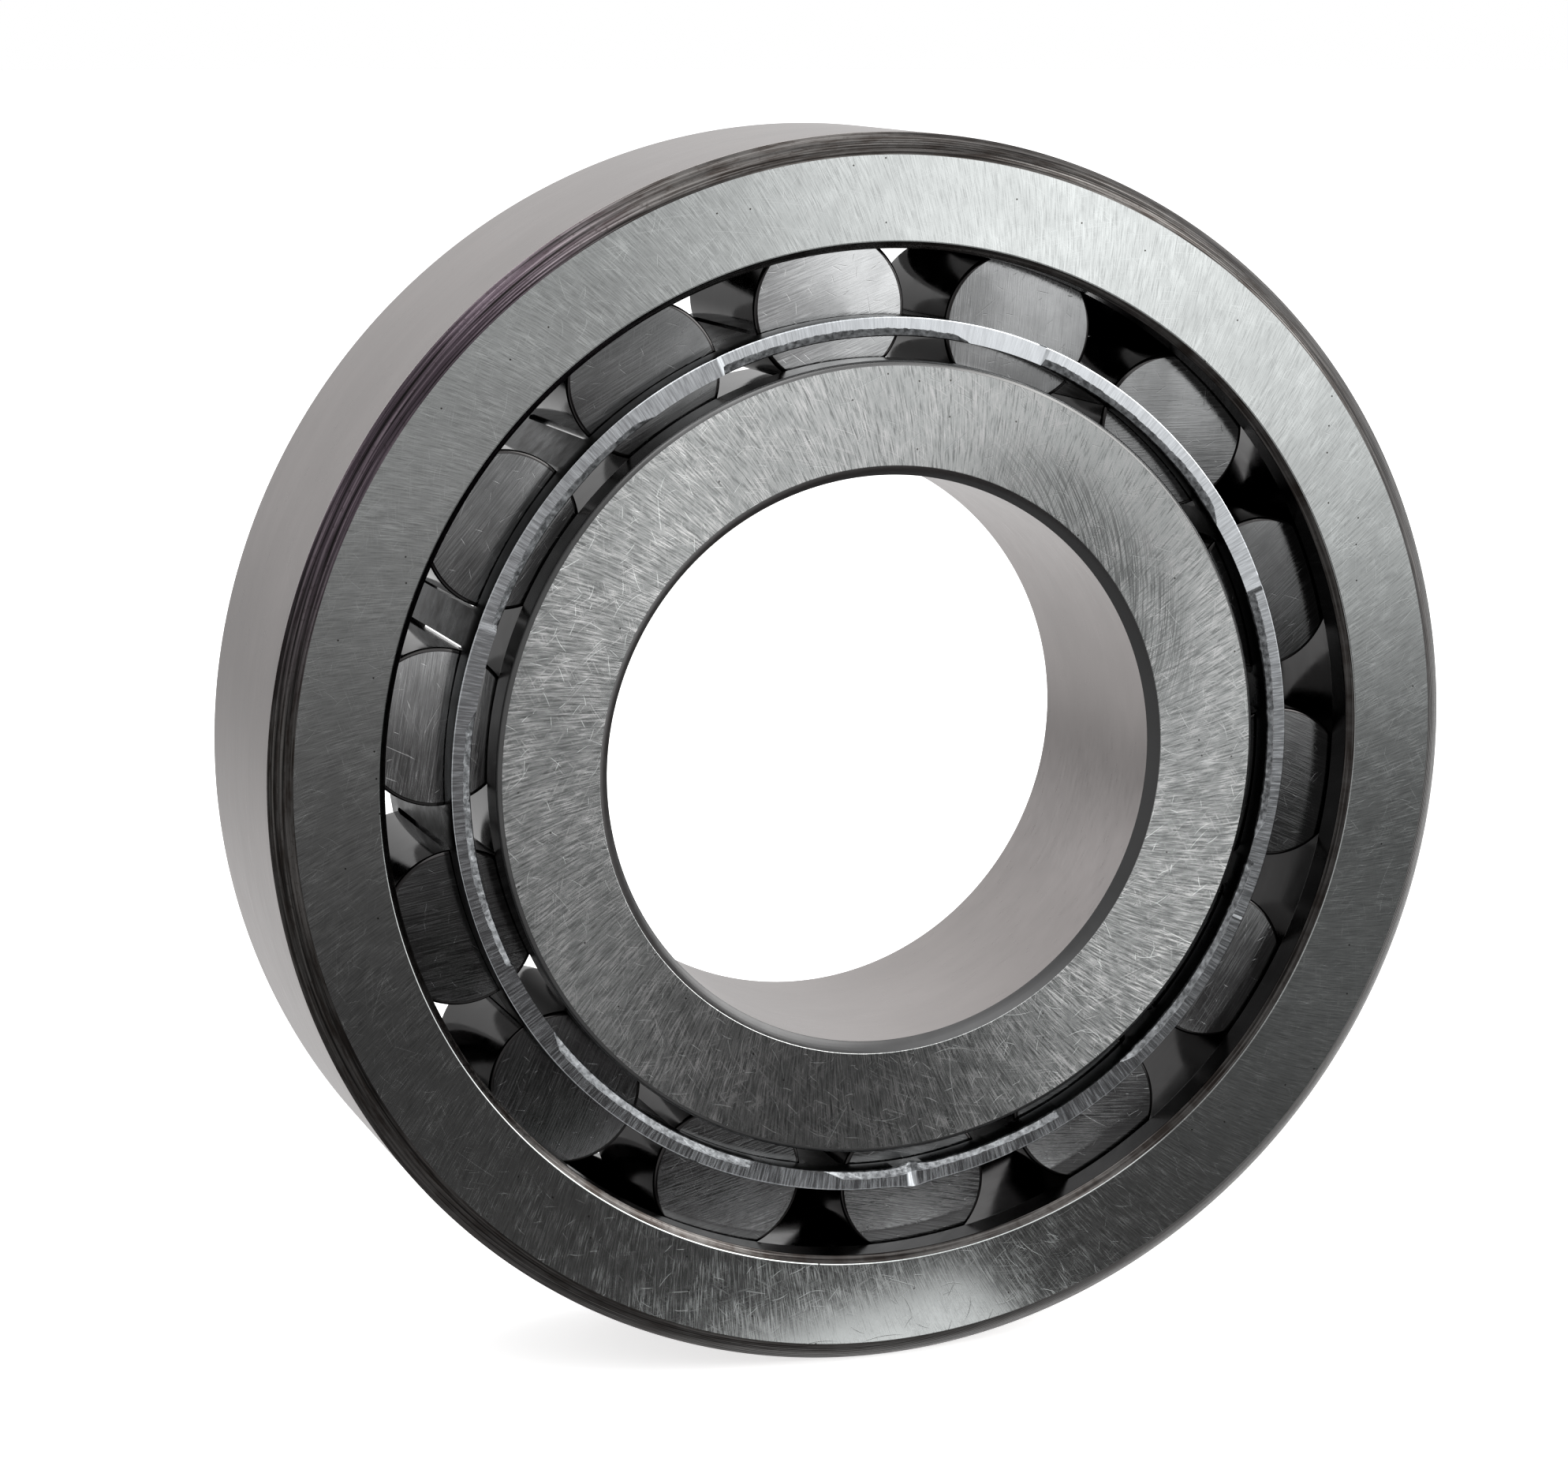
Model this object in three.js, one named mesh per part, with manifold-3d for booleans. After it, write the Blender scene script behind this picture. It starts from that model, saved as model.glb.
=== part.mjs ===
// Single-row cylindrical roller bearing: an outer ring with two ribs, an inner ring with one rib,
// a one-piece window cage and a set of rollers.
//
// Millimetres, +Z up. The bearing's axis is Y, its front faces -Y, and the origin is its centre.

import * as THREE from "three";
import { mergeVertices } from "three/addons/utils/BufferGeometryUtils.js";
import Module from "manifold-3d";

// Sizes of the whole bearing.
const BORE_RADIUS = 30;
const WIDTH = 31;

// Rings, measured outwards from the bore.
const INNER_RING_WALL = 8.85; // bore to inner raceway
const INNER_RIB_HEIGHT = 3.05; // inner raceway to rib top
const OUTER_RING_WALL = 9.25; // outer raceway to outside
const OUTER_RIB_HEIGHT = 2.5; // outer raceway to rib bore
const RIB_THICKNESS = 4.1;

// Chamfers, all at 45 degrees.
const OUTSIDE_CHAMFER = 2.2;
const FRONT_BORE_CHAMFER = 1.1;
const REAR_BORE_CHAMFER = 2;
const OUTER_RIB_CHAMFER = 0.8;
const INNER_RIB_CHAMFER = 0.5;
const RACEWAY_END_CHAMFER = 0.8;

// Rollers.
const ROLLER_COUNT = 14;
const ROLLER_RADIUS = 8.2;
const ROLLER_CORNER = 0.35;
const FIRST_ROLLER_ANGLE = THREE.MathUtils.degToRad(-7); // from +X towards +Z

// Cage. It lies just inside the circle of roller centres.
const CAGE_INSET = 1; // circle of roller centres to the cage's outside
const CAGE_THICKNESS = 2.05;
const CAGE_RECESS = 1.3; // ring face to cage edge

// Running clearances.
const RACEWAY_GAP = 0.25; // roller to each raceway
const ROLLER_END_GAP = 0.3; // roller end to rib
const POCKET_GAP = 0.3; // roller to cage pocket, all round

// Facets round each piece.
const RING_FACETS = 96;
const CAGE_FACETS = 84;
const ROLLER_FACETS = 28;
const POCKET_FACETS = 32;

// Radii and lengths that follow from the sizes above.
const halfWidth = WIDTH / 2;
const innerRaceway = BORE_RADIUS + INNER_RING_WALL;
const pitchRadius = innerRaceway + RACEWAY_GAP + ROLLER_RADIUS;
const outerRaceway = pitchRadius + ROLLER_RADIUS + RACEWAY_GAP;
const outsideRadius = outerRaceway + OUTER_RING_WALL;
const ribFace = halfWidth - RIB_THICKNESS; // distance from the middle to a rib's inner face
const rollerHalfLength = ribFace - ROLLER_END_GAP;
const cageHalfLength = halfWidth - CAGE_RECESS;
const cageOutside = pitchRadius - CAGE_INSET;
const cageInside = cageOutside - CAGE_THICKNESS;

const groundSteel = new THREE.MeshStandardMaterial({ color: 0x9a9d9b, roughness: 0.32, metalness: 1 });
const polishedSteel = new THREE.MeshStandardMaterial({ color: 0xa8a8a6, roughness: 0.15, metalness: 1 });
const pressedSteel = new THREE.MeshStandardMaterial({ color: 0x85898b, roughness: 0.45, metalness: 1 });

// Turns a closed outline of [radius, y] points about the Y axis. The outline runs from the front
// inner corner outwards, back along the outside and inwards again, so that the faces point out.
function turnedRing(outline, facets) {
  const points = [...outline, outline[0]].map(([radius, y]) => new THREE.Vector2(radius, y));
  return new THREE.LatheGeometry(points, facets);
}

function outerRingGeometry() {
  const ribBore = outerRaceway - OUTER_RIB_HEIGHT;
  const outline = [
    [ribBore, -halfWidth + OUTER_RIB_CHAMFER],
    [ribBore + OUTER_RIB_CHAMFER, -halfWidth],
    [outsideRadius - OUTSIDE_CHAMFER, -halfWidth],
    [outsideRadius, -halfWidth + OUTSIDE_CHAMFER],
    [outsideRadius, halfWidth - OUTSIDE_CHAMFER],
    [outsideRadius - OUTSIDE_CHAMFER, halfWidth],
    [ribBore + OUTER_RIB_CHAMFER, halfWidth],
    [ribBore, halfWidth - OUTER_RIB_CHAMFER],
    [ribBore, ribFace],
    [outerRaceway, ribFace],
    [outerRaceway, -ribFace],
    [ribBore, -ribFace],
  ];
  return turnedRing(outline, RING_FACETS);
}

function innerRingGeometry() {
  const ribTop = innerRaceway + INNER_RIB_HEIGHT;
  const outline = [
    [BORE_RADIUS, -halfWidth + FRONT_BORE_CHAMFER],
    [BORE_RADIUS + FRONT_BORE_CHAMFER, -halfWidth],
    [ribTop - INNER_RIB_CHAMFER, -halfWidth],
    [ribTop, -halfWidth + INNER_RIB_CHAMFER],
    [ribTop, -ribFace],
    [innerRaceway, -ribFace],
    [innerRaceway, halfWidth - RACEWAY_END_CHAMFER],
    [innerRaceway - RACEWAY_END_CHAMFER, halfWidth],
    [BORE_RADIUS + REAR_BORE_CHAMFER, halfWidth],
    [BORE_RADIUS, halfWidth - REAR_BORE_CHAMFER],
  ];
  return turnedRing(outline, RING_FACETS);
}

// A solid of revolution about its own Y axis, with small chamfers at both ends.
function rollerGeometry() {
  const endRadius = ROLLER_RADIUS - ROLLER_CORNER;
  const sideHalfLength = rollerHalfLength - ROLLER_CORNER;
  const outline = [
    [0, -rollerHalfLength],
    [endRadius, -rollerHalfLength],
    [ROLLER_RADIUS, -sideHalfLength],
    [ROLLER_RADIUS, sideHalfLength],
    [endRadius, rollerHalfLength],
    [0, rollerHalfLength],
  ];
  const points = outline.map(([radius, y]) => new THREE.Vector2(radius, y));
  return new THREE.LatheGeometry(points, ROLLER_FACETS);
}

function rollerAngle(index) {
  return FIRST_ROLLER_ANGLE + (index * 2 * Math.PI) / ROLLER_COUNT;
}

function onPitchCircle(index) {
  const angle = rollerAngle(index);
  return new THREE.Vector3(pitchRadius * Math.cos(angle), 0, pitchRadius * Math.sin(angle));
}

const wasm = await Module();
wasm.setup();

function toSolid(geometry) {
  const bare = geometry.clone();
  bare.deleteAttribute("normal");
  bare.deleteAttribute("uv");
  const merged = mergeVertices(bare);
  return new wasm.Manifold(
    new wasm.Mesh({
      numProp: 3,
      vertProperties: new Float32Array(merged.attributes.position.array),
      triVerts: new Uint32Array(merged.index.array),
    }),
  );
}

function toGeometry(solid) {
  const mesh = solid.getMesh();
  const geometry = new THREE.BufferGeometry();
  geometry.setAttribute("position", new THREE.BufferAttribute(mesh.vertProperties, 3));
  geometry.setIndex(new THREE.BufferAttribute(mesh.triVerts, 1));
  return geometry;
}

// A tube with one pocket for each roller, cut by a larger copy of the roller. The pocket narrows
// inwards, so a roller can't fall through it towards the shaft.
function cageGeometry() {
  const tube = turnedRing(
    [
      [cageInside, -cageHalfLength],
      [cageOutside, -cageHalfLength],
      [cageOutside, cageHalfLength],
      [cageInside, cageHalfLength],
    ],
    CAGE_FACETS,
  );
  const pocketRadius = ROLLER_RADIUS + POCKET_GAP;
  const pocketLength = 2 * (rollerHalfLength + POCKET_GAP);
  const pocket = new THREE.CylinderGeometry(pocketRadius, pocketRadius, pocketLength, POCKET_FACETS);
  let cage = toSolid(tube);
  for (let index = 0; index < ROLLER_COUNT; index += 1) {
    const place = onPitchCircle(index);
    cage = cage.subtract(toSolid(pocket.clone().translate(place.x, place.y, place.z)));
  }
  return toGeometry(cage);
}

function namedMesh(name, geometry, material) {
  const mesh = new THREE.Mesh(geometry, material);
  mesh.name = name;
  return mesh;
}

function rollerSet() {
  const set = new THREE.Group();
  const geometry = rollerGeometry();
  for (let index = 0; index < ROLLER_COUNT; index += 1) {
    const number = String(index + 1).padStart(2, "0");
    const roller = namedMesh(`roller_${number}`, geometry, polishedSteel);
    roller.position.copy(onPitchCircle(index));
    roller.rotation.y = -rollerAngle(index);
    set.add(roller);
  }
  return set;
}

const bearing = new THREE.Group();
bearing.add(namedMesh("outer_ring", outerRingGeometry(), groundSteel));
bearing.add(namedMesh("inner_ring", innerRingGeometry(), groundSteel));
bearing.add(namedMesh("cage", cageGeometry(), pressedSteel));
bearing.add(rollerSet());

export default bearing;
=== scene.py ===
"""Cylindrical roller bearing: the finished look of two rings, a cage and fourteen rollers.

Metres, +Z up. The bearing's axis is Y, its front faces -Y, and the origin is its centre.
Angles round the bearing run from +X towards +Z.
"""

import math

import bpy
import numpy as np
from mathutils import Matrix, Vector


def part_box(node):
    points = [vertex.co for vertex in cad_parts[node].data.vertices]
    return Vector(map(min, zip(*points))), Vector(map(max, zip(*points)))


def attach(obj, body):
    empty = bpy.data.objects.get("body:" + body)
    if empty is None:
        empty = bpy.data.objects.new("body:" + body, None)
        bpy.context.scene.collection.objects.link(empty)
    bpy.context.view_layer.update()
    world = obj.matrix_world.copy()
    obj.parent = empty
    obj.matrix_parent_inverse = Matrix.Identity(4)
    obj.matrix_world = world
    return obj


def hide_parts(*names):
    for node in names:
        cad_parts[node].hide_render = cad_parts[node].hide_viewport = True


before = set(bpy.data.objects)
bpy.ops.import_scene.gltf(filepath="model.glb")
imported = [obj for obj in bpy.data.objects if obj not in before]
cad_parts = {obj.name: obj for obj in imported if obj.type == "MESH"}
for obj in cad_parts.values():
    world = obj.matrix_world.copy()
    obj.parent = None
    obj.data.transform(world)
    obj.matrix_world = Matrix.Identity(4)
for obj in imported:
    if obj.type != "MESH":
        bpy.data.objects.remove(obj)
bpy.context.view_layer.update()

bl_info = {
    "name": "Cylindrical Roller Bearing",
    "version": (1, 0, 0),
    "blender": (4, 5, 0),
    "location": "3D View > Sidebar > Bearing",
    "description": "Builds a cylindrical roller bearing in ground, turned and pressed steel",
    "category": "Object",
}

MM = 0.001
PER_METRE = 1 / MM

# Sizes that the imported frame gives.
OUTER_LOW, OUTER_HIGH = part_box("outer_ring")
INNER_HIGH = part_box("inner_ring")[1]
CAGE_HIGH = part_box("cage")[1]
ROLLERS = sorted(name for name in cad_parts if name.startswith("roller_"))
OUTSIDE_RADIUS = OUTER_HIGH.z
RIB_TOP_RADIUS = INNER_HIGH.z
HALF_WIDTH = OUTER_HIGH.y
CAGE_RADIUS = CAGE_HIGH.z
CAGE_HALF_LENGTH = CAGE_HIGH.y
ROLLER_HALF_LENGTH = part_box(ROLLERS[0])[1].y


def roller_centre(name):
    low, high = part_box(name)
    return (low + high) / 2


FIRST_CENTRE = roller_centre(ROLLERS[0])
FIRST_ROLLER_ANGLE = math.atan2(FIRST_CENTRE.z, FIRST_CENTRE.x)


# ------------------------------------------------------------------ settings


class BearingRingSettings(bpy.types.PropertyGroup):
    bore_radius: bpy.props.FloatProperty(
        name="Bore Radius", description="Radius of the inner ring's bore",
        default=30 * MM, unit="LENGTH", precision=5)
    inner_raceway_radius: bpy.props.FloatProperty(
        name="Inner Raceway Radius", description="Radius of the surface the rollers run on",
        default=38.85 * MM, unit="LENGTH", precision=5)
    outer_raceway_radius: bpy.props.FloatProperty(
        name="Outer Raceway Radius", description="Radius of the outer ring's raceway",
        default=55.75 * MM, unit="LENGTH", precision=5)
    rib_bore_radius: bpy.props.FloatProperty(
        name="Rib Bore Radius", description="Radius inside the outer ring's ribs",
        default=53.25 * MM, unit="LENGTH", precision=5)
    rib_thickness: bpy.props.FloatProperty(
        name="Rib Thickness", description="Thickness of each rib along the axis",
        default=4.1 * MM, unit="LENGTH", precision=5)
    outside_chamfer: bpy.props.FloatProperty(
        name="Outside Chamfer", description="Size of the turned chamfer round the outside",
        default=2.2 * MM, unit="LENGTH", precision=5)
    groove_count: bpy.props.IntProperty(
        name="Chamfer Grooves", description="Turning grooves across the outside chamfer",
        default=10, min=1)
    groove_depth: bpy.props.FloatProperty(
        name="Groove Depth", description="Depth of each turning groove",
        default=0.018 * MM, unit="LENGTH", precision=6)
    facets: bpy.props.IntProperty(
        name="Facets", description="Facets round each ring", default=360, min=24)


class BearingRollerSettings(bpy.types.PropertyGroup):
    radius: bpy.props.FloatProperty(
        name="Radius", description="Radius of each roller",
        default=8.2 * MM, unit="LENGTH", precision=5)
    corner_radius: bpy.props.FloatProperty(
        name="Corner Radius", description="Rounding between a roller's side and its ends",
        default=0.42 * MM, unit="LENGTH", precision=5)
    end_dome: bpy.props.FloatProperty(
        name="End Dome", description="How far the middle of a roller's end stands out past its edge",
        default=0.14 * MM, unit="LENGTH", precision=6)
    facets: bpy.props.IntProperty(
        name="Facets", description="Facets round each roller", default=128, min=24)


class BearingCageSettings(bpy.types.PropertyGroup):
    thickness: bpy.props.FloatProperty(
        name="Thickness", description="Thickness of the cage's steel strip",
        default=2.05 * MM, unit="LENGTH", precision=5)
    window_half_angle: bpy.props.FloatProperty(
        name="Window Half Angle", description="Half of the angle that a roller's window spans",
        default=math.radians(10.45), subtype="ANGLE")
    window_half_length: bpy.props.FloatProperty(
        name="Window Half Length", description="Half of a window's length along the axis",
        default=11.4 * MM, unit="LENGTH", precision=5)
    seam_angle: bpy.props.FloatProperty(
        name="Seam Angle", description="Where the strip's ends are welded together",
        default=math.radians(-85.4), subtype="ANGLE")


class BearingFinishSettings(bpy.types.PropertyGroup):
    face_colour: bpy.props.FloatVectorProperty(
        name="Ground Faces", description="Steel of the ground ring faces",
        default=(0.62, 0.645, 0.64), subtype="COLOR", min=0, max=1)
    outside_colour: bpy.props.FloatVectorProperty(
        name="Satin Outside", description="Steel of the outside and the bore",
        default=(0.42, 0.388, 0.38), subtype="COLOR", min=0, max=1)
    chamfer_colour: bpy.props.FloatVectorProperty(
        name="Turned Chamfers", description="Darkened steel of the turned chamfers",
        default=(0.056, 0.053, 0.051), subtype="COLOR", min=0, max=1)
    # Raceways, ribs and roller sides are painted near-black: painted shade for the recessed steel between
    # rings and rollers.
    shaded_raceway_colour: bpy.props.FloatVectorProperty(
        name="Raceways", description="Polished steel of raceways and roller sides",
        default=(0.058, 0.056, 0.056), subtype="COLOR", min=0, max=1)
    roller_end_colour: bpy.props.FloatVectorProperty(
        name="Roller Ends", description="Cross-ground steel of the roller ends",
        default=(0.56, 0.57, 0.575), subtype="COLOR", min=0, max=1)
    cage_colour: bpy.props.FloatVectorProperty(
        name="Cage", description="Pressed steel of the cage",
        default=(0.72, 0.75, 0.78), subtype="COLOR", min=0, max=1)


# ------------------------------------------------------------------ turned meshes


def eased_outline(corners, steps=3):
    """Closed outline of (radius, along, zone) from corners of (radius, along, easing, zone)."""
    outline = []
    count = len(corners)
    for index, (radius, along, easing, zone) in enumerate(corners):
        corner = Vector((radius, along))
        before = Vector(corners[index - 1][:2]) - corner
        after = Vector(corners[(index + 1) % count][:2]) - corner
        if easing <= 0:
            outline.append((radius, along, zone))
            continue
        reach = min(easing, 0.45 * before.length, 0.45 * after.length)
        start = corner + before.normalized() * reach
        end = corner + after.normalized() * reach
        for step in range(steps + 1):
            t = step / steps
            point = start * (1 - t) ** 2 + corner * 2 * t * (1 - t) + end * t**2
            outline.append((point.x, point.y, zone))
    return outline


def grooved_run(start, end, bulge, depth, grooves, easing, zone):
    """Corners along a turned chamfer: slightly crowned, with shallow grooves across it."""
    steps_per_groove = 5
    start, end = Vector(start), Vector(end)
    along = end - start
    outward = Vector((-along.y, along.x)).normalized()
    if outward.x < 0:
        outward = -outward
    corners = [(start.x, start.y, easing, zone)]
    total = grooves * steps_per_groove
    for step in range(1, total):
        t = step / total
        wave = 0.5 - 0.5 * math.cos(2 * math.pi * grooves * t)
        swell = bulge * math.sin(math.pi * t) - depth * wave
        point = start + along * t + outward * swell
        corners.append((point.x, point.y, 0, zone))
    return corners


def outline_normals(outline, closed):
    """Unit normals at the outline's points; a long flat outweighs the short facets beside it."""
    points = np.array([(radius, along) for radius, along, _ in outline])
    following = np.roll(points, -1, axis=0) - points
    lengths = np.linalg.norm(following, axis=1)
    if not closed:
        lengths[-1] = 0
    safe = np.maximum(lengths, 1e-12)[:, None]
    sides = np.stack([-following[:, 1], following[:, 0]], axis=1) / safe
    weighted = sides * (lengths**2)[:, None]
    total = weighted + np.roll(weighted, 1, axis=0)
    return total / np.maximum(np.linalg.norm(total, axis=1), 1e-15)[:, None]


def turned_mesh(name, outline, facets, materials, closed=True):
    """Sweeps an outline of (radius, along, zone) round the Y axis, with exact normals."""
    zones = list(materials)
    normals_2d = -outline_normals(outline, closed)
    angles = np.arange(facets) * 2 * math.pi / facets
    vertices, normals, rings = [], [], []
    for (radius, along, _), (normal_r, normal_y) in zip(outline, normals_2d):
        if radius < 1e-9:
            rings.append([len(vertices)] * facets)
            vertices.append((0.0, along, 0.0))
            normals.append((0.0, math.copysign(1, normal_y), 0.0))
            continue
        rings.append(list(range(len(vertices), len(vertices) + facets)))
        for angle in angles:
            c, s = math.cos(angle), math.sin(angle)
            vertices.append((radius * c, along, radius * s))
            normals.append((normal_r * c, normal_y, normal_r * s))
    faces, slots = [], []
    last = len(outline) if closed else len(outline) - 1
    for index in range(last):
        here, there = rings[index], rings[(index + 1) % len(outline)]
        slot = zones.index(outline[index][2])
        for i in range(facets):
            j = (i + 1) % facets
            corners = (here[i], there[i], there[j], here[j])
            faces.append(tuple(dict.fromkeys(corners)))
            slots.append(slot)
    return finished_mesh(name, vertices, faces, slots, list(materials.values()), normals)


def finished_mesh(name, vertices, faces, slots, materials, normals=None):
    mesh = bpy.data.meshes.new(name)
    mesh.from_pydata(vertices, [], faces)
    for material in materials:
        mesh.materials.append(material)
    mesh.polygons.foreach_set("material_index", slots)
    mesh.polygons.foreach_set("use_smooth", [True] * len(faces))
    mesh.update()
    mesh.validate()
    if normals is not None:
        mesh.normals_split_custom_set_from_vertices(normals)
    piece = bpy.data.objects.new(name, mesh)
    bpy.context.scene.collection.objects.link(piece)
    return piece


# ------------------------------------------------------------------ material nodes

# Radius, in noise cells, of the circle that streaks are drawn on.
STREAKS_ROUND = 48.0


def add_node(tree, kind, inputs=None, **settings):
    node = tree.nodes.new(kind)
    for name, value in settings.items():
        setattr(node, name, value)
    for key, value in (inputs or {}).items():
        connect(tree, value, node.inputs[key])
    return node


def connect(tree, value, socket):
    if isinstance(value, bpy.types.NodeSocket):
        tree.links.new(value, socket)
    else:
        socket.default_value = value


def maths(tree, operation, *values):
    return add_node(tree, "ShaderNodeMath", dict(enumerate(values)), operation=operation).outputs[0]


def vector_maths(tree, operation, *values):
    node = add_node(tree, "ShaderNodeVectorMath", dict(enumerate(values)), operation=operation)
    return node.outputs["Value" if operation in ("LENGTH", "DOT_PRODUCT") else "Vector"]


def smooth_step(tree, value, low, high, start=0.0, end=1.0):
    node = add_node(
        tree, "ShaderNodeMapRange",
        {"Value": value, "From Min": low, "From Max": high, "To Min": start, "To Max": end},
        interpolation_type="SMOOTHSTEP")
    return node.outputs["Result"]


def spread(tree, value, start, end, low=0.0, high=1.0):
    """Carries low..high to start..end in a straight line, and stops at both ends."""
    node = add_node(
        tree, "ShaderNodeMapRange",
        {"Value": value, "From Min": low, "From Max": high, "To Min": start, "To Max": end})
    return node.outputs["Result"]


def blend_colour(tree, factor, first, second):
    node = add_node(tree, "ShaderNodeMix", data_type="RGBA")
    connect(tree, factor, node.inputs[0])
    connect(tree, first, node.inputs[6])
    connect(tree, second, node.inputs[7])
    return node.outputs[2]


def noise(tree, place, scale, detail=2.0, roughness=0.5):
    return add_node(
        tree, "ShaderNodeTexNoise",
        {"Vector": place, "Scale": scale, "Detail": detail, "Roughness": roughness}).outputs[0]


def combine(tree, x, y, z):
    return add_node(tree, "ShaderNodeCombineXYZ", {0: x, 1: y, 2: z}).outputs[0]


def new_group(name, inputs, outputs):
    """An empty node group with number inputs and outputs; gives the tree and its two ends."""
    tree = bpy.data.node_groups.new(name, "ShaderNodeTree")
    for label, kind, default in inputs:
        socket = tree.interface.new_socket(label, in_out="INPUT", socket_type=kind)
        socket.default_value = default
    for label, kind in outputs:
        tree.interface.new_socket(label, in_out="OUTPUT", socket_type=kind)
    return tree, add_node(tree, "NodeGroupInput"), add_node(tree, "NodeGroupOutput")


def use_group(tree, group, inputs=None):
    node = add_node(tree, "ShaderNodeGroup", node_tree=group)
    for key, value in (inputs or {}).items():
        connect(tree, value, node.inputs[key])
    return node


def shared_group(name, build):
    return bpy.data.node_groups.get(name) or build(name)


def round_the_axis(name):
    """Position in millimetres as radius, angle, place along the axis, and a point on a circle."""
    tree, _, end = new_group(
        name, [],
        [("Radius", "NodeSocketFloat"), ("Angle", "NodeSocketFloat"), ("Along", "NodeSocketFloat"),
         ("Position", "NodeSocketVector"), ("Heading", "NodeSocketVector")])
    place = add_node(tree, "ShaderNodeTexCoord").outputs["Object"]
    position = vector_maths(tree, "MULTIPLY", place, (PER_METRE,) * 3)
    parts = add_node(tree, "ShaderNodeSeparateXYZ", {0: position}).outputs
    flat = combine(tree, parts[0], 0.0, parts[2])
    radius = vector_maths(tree, "LENGTH", flat)
    heading = vector_maths(tree, "NORMALIZE", flat)
    angle = maths(tree, "DEGREES", maths(tree, "ARCTAN2", parts[2], parts[0]))
    for key, value in (("Radius", radius), ("Angle", angle), ("Along", parts[1]),
                       ("Position", position), ("Heading", heading)):
        tree.links.new(value, end.inputs[key])
    return tree


def swirl_lines(name):
    """Streaks that run outwards from the axis, and curve as far as Twist turns them.

    Fineness makes them narrower, and Length is in millimetres.
    """
    tree, start, end = new_group(
        name,
        [("Twist", "NodeSocketFloat", 0.02), ("Fineness", "NodeSocketFloat", 2.5),
         ("Length", "NodeSocketFloat", 5.0), ("Seed", "NodeSocketFloat", 0.0)],
        [("Height", "NodeSocketFloat")])
    around = use_group(tree, shared_group("Round the Axis", round_the_axis)).outputs
    turn = maths(tree, "MULTIPLY", around["Radius"], start.outputs["Twist"])
    turned = add_node(
        tree, "ShaderNodeVectorRotate", {"Vector": around["Heading"], "Angle": turn},
        rotation_type="Y_AXIS").outputs[0]
    fine = vector_maths(tree, "MULTIPLY", turned, (STREAKS_ROUND, 0.0, STREAKS_ROUND))
    scaled = add_node(
        tree, "ShaderNodeVectorMath", {0: fine, "Scale": start.outputs["Fineness"]},
        operation="SCALE").outputs[0]
    slow = maths(tree, "ADD", maths(tree, "DIVIDE", around["Radius"], start.outputs["Length"]),
                 start.outputs["Seed"])
    place = vector_maths(tree, "ADD", scaled, combine(tree, 0.0, slow, 0.0))
    tree.links.new(noise(tree, place, 1.0, detail=2.0, roughness=0.6), end.inputs["Height"])
    return tree


def stray_scratches(name):
    """One thin curved scratch in each cell of a scattered pattern on the XZ plane."""
    tree, start, end = new_group(
        name,
        [("Spacing", "NodeSocketFloat", 4.0), ("Width", "NodeSocketFloat", 0.06),
         ("Bend", "NodeSocketFloat", 0.6), ("Seed", "NodeSocketFloat", 0.0)],
        [("Scratch", "NodeSocketFloat")])
    position = use_group(tree, shared_group("Round the Axis", round_the_axis)).outputs["Position"]
    parts = add_node(tree, "ShaderNodeSeparateXYZ", {0: position}).outputs
    flat = combine(tree, maths(tree, "DIVIDE", parts[0], start.outputs["Spacing"]),
                   maths(tree, "DIVIDE", parts[2], start.outputs["Spacing"]), start.outputs["Seed"])
    cells = add_node(
        tree, "ShaderNodeTexVoronoi", {"Vector": flat, "Scale": 1.0}, voronoi_dimensions="3D")
    local = vector_maths(tree, "SUBTRACT", flat, cells.outputs["Position"])
    chance = add_node(tree, "ShaderNodeSeparateColor", {0: cells.outputs["Color"]}).outputs
    turned = add_node(
        tree, "ShaderNodeVectorRotate",
        {"Vector": local, "Angle": maths(tree, "MULTIPLY", chance[0], math.pi)},
        rotation_type="Z_AXIS").outputs[0]
    sides = add_node(tree, "ShaderNodeSeparateXYZ", {0: turned}).outputs
    curve = maths(tree, "MULTIPLY", maths(tree, "MULTIPLY", sides[0], sides[0]),
                  maths(tree, "MULTIPLY", maths(tree, "SUBTRACT", chance[1], 0.5),
                        start.outputs["Bend"]))
    offset = maths(tree, "ABSOLUTE", maths(tree, "SUBTRACT", sides[1], curve))
    width = maths(tree, "DIVIDE", start.outputs["Width"], start.outputs["Spacing"])
    line = smooth_step(tree, offset, width, 0.0)
    length = maths(tree, "MULTIPLY_ADD", chance[2], 0.3, 0.12)
    ends = smooth_step(tree, maths(tree, "ABSOLUTE", sides[0]), length, 0.05)
    tree.links.new(maths(tree, "MULTIPLY", line, ends), end.inputs["Scratch"])
    return tree


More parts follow.
